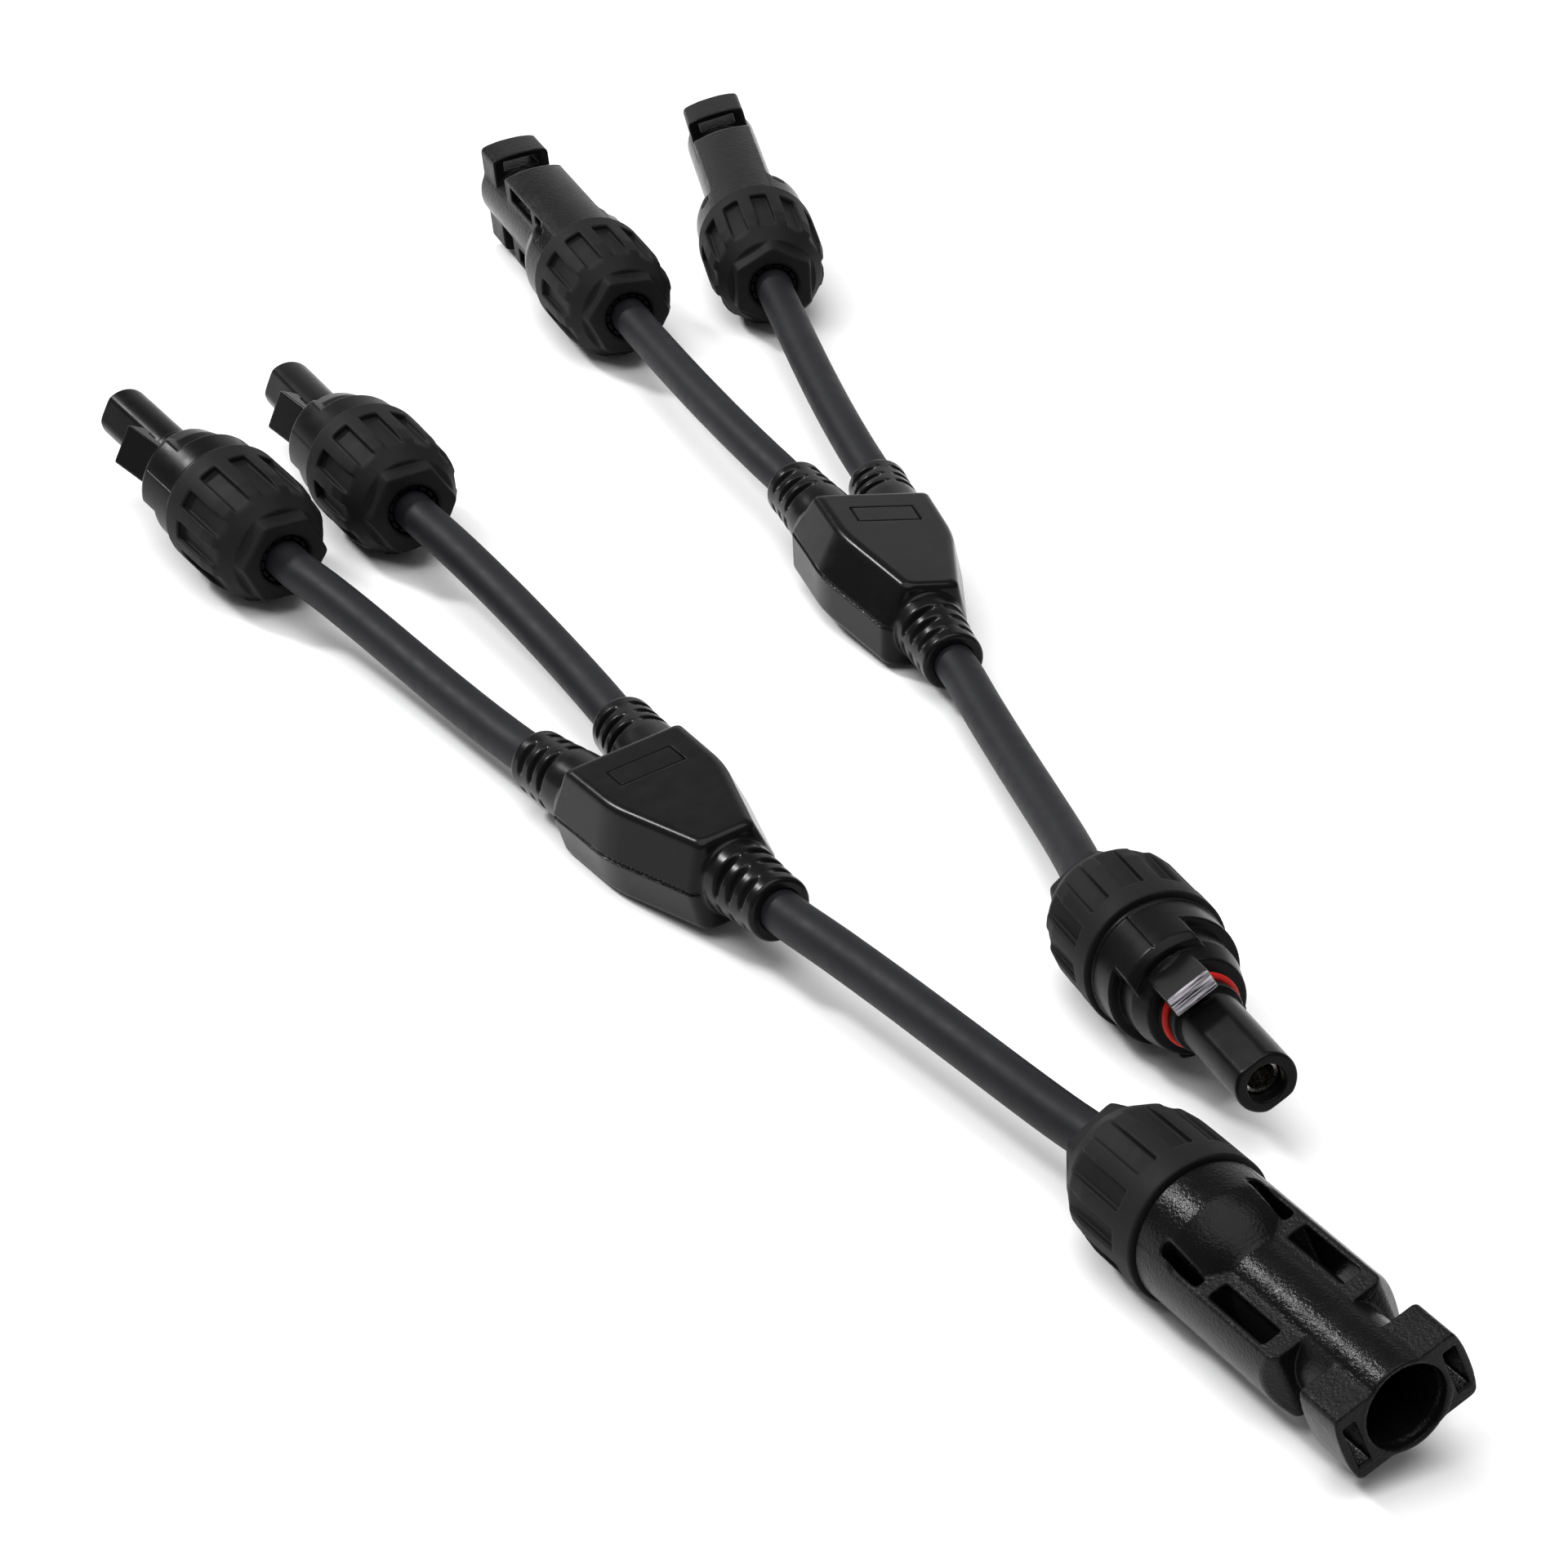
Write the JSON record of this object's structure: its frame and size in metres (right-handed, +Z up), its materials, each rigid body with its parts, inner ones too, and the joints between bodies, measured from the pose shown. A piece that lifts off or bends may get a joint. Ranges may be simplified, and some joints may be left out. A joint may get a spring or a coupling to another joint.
{
  "type": "solar cable connector",
  "caption": "Complementary pair of Y-branch solar cable assemblies: moulded junctions with ribbed boots, round cables, screw-gland plugs with latch arms and windowed sockets.",
  "frame": {"origin": "centre of the bounding box in plan, on the floor", "axes": "+Z up; +Y runs the length of the two assemblies as they lie side by side, away from the viewer; +X to the right"},
  "size_m": [0.1766, 0.3682, 0.0206],
  "materials": {
    "nut_plastic": "matte",
    "housing_plastic": "fine spark-eroded grain, satin",
    "junction_plastic": "semi-gloss",
    "cable_jacket": "satin",
    "seal_rubber": "matte",
    "ring_rubber": "satin",
    "contact_metal": "tinned",
    "splice_metal": "crimped"
  },
  "bodies": {
    "harness_a": {"a_moulding": "junction_plastic", "a_splice": "splice_metal", "a_cable_1": "cable_jacket", "a_cable_2": "cable_jacket", "a_trunk": "cable_jacket", "a_plug_1_housing": "housing_plastic", "a_plug_1_gland_seal": "seal_rubber", "a_plug_1_socket_contact": "contact_metal", "a_plug_1_o_ring": "ring_rubber", "a_plug_2_housing": "housing_plastic", "a_plug_2_gland_seal": "seal_rubber", "a_plug_2_socket_contact": "contact_metal", "a_plug_2_o_ring": "ring_rubber", "a_socket_housing": "housing_plastic", "a_socket_gland_seal": "seal_rubber", "a_socket_pin_contact": "contact_metal"},
    "harness_b": {"b_moulding": "junction_plastic", "b_splice": "splice_metal", "b_cable_1": "cable_jacket", "b_cable_2": "cable_jacket", "b_trunk": "cable_jacket", "b_socket_1_housing": "housing_plastic", "b_socket_1_gland_seal": "seal_rubber", "b_socket_1_pin_contact": "contact_metal", "b_socket_2_housing": "housing_plastic", "b_socket_2_gland_seal": "seal_rubber", "b_socket_2_pin_contact": "contact_metal", "b_plug_housing": "housing_plastic", "b_plug_gland_seal": "seal_rubber", "b_plug_socket_contact": "contact_metal", "b_plug_o_ring": "ring_rubber"},
    "a_plug_1_basket": {"a_plug_1_clamp_basket": "seal_rubber"},
    "a_plug_1_nut": {"a_plug_1_cap_nut": "nut_plastic"},
    "a_plug_1_arm_a": {"a_plug_1_latch_arm_a": "housing_plastic"},
    "a_plug_1_arm_b": {"a_plug_1_latch_arm_b": "housing_plastic"},
    "a_plug_2_basket": {"a_plug_2_clamp_basket": "seal_rubber"},
    "a_plug_2_nut": {"a_plug_2_cap_nut": "nut_plastic"},
    "a_plug_2_arm_a": {"a_plug_2_latch_arm_a": "housing_plastic"},
    "a_plug_2_arm_b": {"a_plug_2_latch_arm_b": "housing_plastic"},
    "a_socket_basket": {"a_socket_clamp_basket": "seal_rubber"},
    "a_socket_nut": {"a_socket_cap_nut": "nut_plastic"},
    "b_socket_1_basket": {"b_socket_1_clamp_basket": "seal_rubber"},
    "b_socket_1_nut": {"b_socket_1_cap_nut": "nut_plastic"},
    "b_socket_2_basket": {"b_socket_2_clamp_basket": "seal_rubber"},
    "b_socket_2_nut": {"b_socket_2_cap_nut": "nut_plastic"},
    "b_plug_basket": {"b_plug_clamp_basket": "seal_rubber"},
    "b_plug_nut": {"b_plug_cap_nut": "nut_plastic"},
    "b_plug_arm_a": {"b_plug_latch_arm_a": "housing_plastic"},
    "b_plug_arm_b": {"b_plug_latch_arm_b": "housing_plastic"}
  },
  "joints": [
    {"name": "harness_b_lift", "type": "slide", "parent": "harness_a", "child": "harness_b", "axis": [0, 0, 1], "range_m": [0, 0.1]},
    {"name": "a_plug_1_nut_travel", "type": "slide", "parent": "harness_a", "child": "a_plug_1_basket", "axis": [0.5529, -0.8296, -0.0781], "range_m": [0, 0.003]},
    {"name": "a_plug_1_nut_turn", "type": "hinge", "parent": "a_plug_1_basket", "child": "a_plug_1_nut", "pos_m": [-0.06215, 0.03289, 0.00962], "axis": [0.5529, -0.8296, -0.0781], "range_deg": [0, 740]},
    {"name": "a_plug_1_arm_a_flex", "type": "hinge", "parent": "harness_a", "child": "a_plug_1_arm_a", "pos_m": [-0.07739, 0.04606, 0.01352], "axis": [-0.3754, -0.1643, -0.9122], "range_deg": [0, 4.5], "stiffness_Nm_per_rad": 0.15},
    {"name": "a_plug_1_arm_b_flex", "type": "hinge", "parent": "harness_a", "child": "a_plug_1_arm_b", "pos_m": [-0.06864, 0.05233, 0.00879], "axis": [0.3754, 0.1643, 0.9122], "range_deg": [0, 4.5], "stiffness_Nm_per_rad": 0.15},
    {"name": "a_plug_2_nut_travel", "type": "slide", "parent": "harness_a", "child": "a_plug_2_basket", "axis": [0.4448, -0.8956, 0.0084], "range_m": [0, 0.003]},
    {"name": "a_plug_2_nut_turn", "type": "hinge", "parent": "a_plug_2_basket", "child": "a_plug_2_nut", "pos_m": [-0.04385, 0.04844, 0.00964], "axis": [0.4448, -0.8956, 0.0084], "range_deg": [0, 740]},
    {"name": "a_plug_2_arm_a_flex", "type": "hinge", "parent": "harness_a", "child": "a_plug_2_arm_a", "pos_m": [-0.05747, 0.06363, 0.0117], "axis": [-0.335, -0.175, -0.9258], "range_deg": [0, 4.5], "stiffness_Nm_per_rad": 0.15},
    {"name": "a_plug_2_arm_b_flex", "type": "hinge", "parent": "harness_a", "child": "a_plug_2_arm_b", "pos_m": [-0.0477, 0.06844, 0.00726], "axis": [0.335, 0.175, 0.9258], "range_deg": [0, 4.5], "stiffness_Nm_per_rad": 0.15},
    {"name": "a_socket_nut_travel", "type": "slide", "parent": "harness_a", "child": "a_socket_basket", "axis": [-0.4916, 0.8706, -0.018], "range_m": [0, 0.003]},
    {"name": "a_socket_nut_turn", "type": "hinge", "parent": "a_socket_basket", "child": "a_socket_nut", "pos_m": [0.05666, -0.13745, 0.00962], "axis": [-0.4916, 0.8706, -0.018], "range_deg": [0, 740]},
    {"name": "b_socket_1_nut_travel", "type": "slide", "parent": "harness_b", "child": "b_socket_1_basket", "axis": [0.3644, -0.9312, -0.0119], "range_m": [0, 0.003]},
    {"name": "b_socket_1_nut_turn", "type": "hinge", "parent": "b_socket_1_basket", "child": "b_socket_1_nut", "pos_m": [-0.01397, 0.12128, 0.00961], "axis": [0.3644, -0.9312, -0.0119], "range_deg": [0, 740]},
    {"name": "b_socket_2_nut_travel", "type": "slide", "parent": "harness_b", "child": "b_socket_2_basket", "axis": [0.1606, -0.986, -0.0448], "range_m": [0, 0.003]},
    {"name": "b_socket_2_nut_turn", "type": "hinge", "parent": "b_socket_2_basket", "child": "b_socket_2_nut", "pos_m": [0.0108, 0.13486, 0.00963], "axis": [0.1606, -0.986, -0.0448], "range_deg": [0, 740]},
    {"name": "b_plug_nut_travel", "type": "slide", "parent": "harness_b", "child": "b_plug_basket", "axis": [-0.341, 0.939, -0.0452], "range_m": [0, 0.003]},
    {"name": "b_plug_nut_turn", "type": "hinge", "parent": "b_plug_basket", "child": "b_plug_nut", "pos_m": [0.0569, -0.07862, 0.00963], "axis": [-0.341, 0.939, -0.0452], "range_deg": [0, 740]},
    {"name": "b_plug_arm_a_flex", "type": "hinge", "parent": "harness_b", "child": "b_plug_arm_a", "pos_m": [0.0606, -0.09792, 0.01549], "axis": [0.7889, 0.312, 0.5294], "range_deg": [0, 4.5], "stiffness_Nm_per_rad": 0.15},
    {"name": "b_plug_arm_b_flex", "type": "hinge", "parent": "harness_b", "child": "b_plug_arm_b", "pos_m": [0.0666, -0.09622, 0.00554], "axis": [-0.7889, -0.312, -0.5294], "range_deg": [0, 4.5], "stiffness_Nm_per_rad": 0.15}
  ],
  "couplings": [
    {"joint": "a_plug_1_nut_turn", "follows": "a_plug_1_nut_travel", "rad_per_m": 4188.8},
    {"joint": "a_plug_2_nut_turn", "follows": "a_plug_2_nut_travel", "rad_per_m": 4188.8},
    {"joint": "a_socket_nut_turn", "follows": "a_socket_nut_travel", "rad_per_m": 4188.8},
    {"joint": "b_socket_1_nut_turn", "follows": "b_socket_1_nut_travel", "rad_per_m": 4188.8},
    {"joint": "b_socket_2_nut_turn", "follows": "b_socket_2_nut_travel", "rad_per_m": 4188.8},
    {"joint": "b_plug_nut_turn", "follows": "b_plug_nut_travel", "rad_per_m": 4188.8}
  ]
}
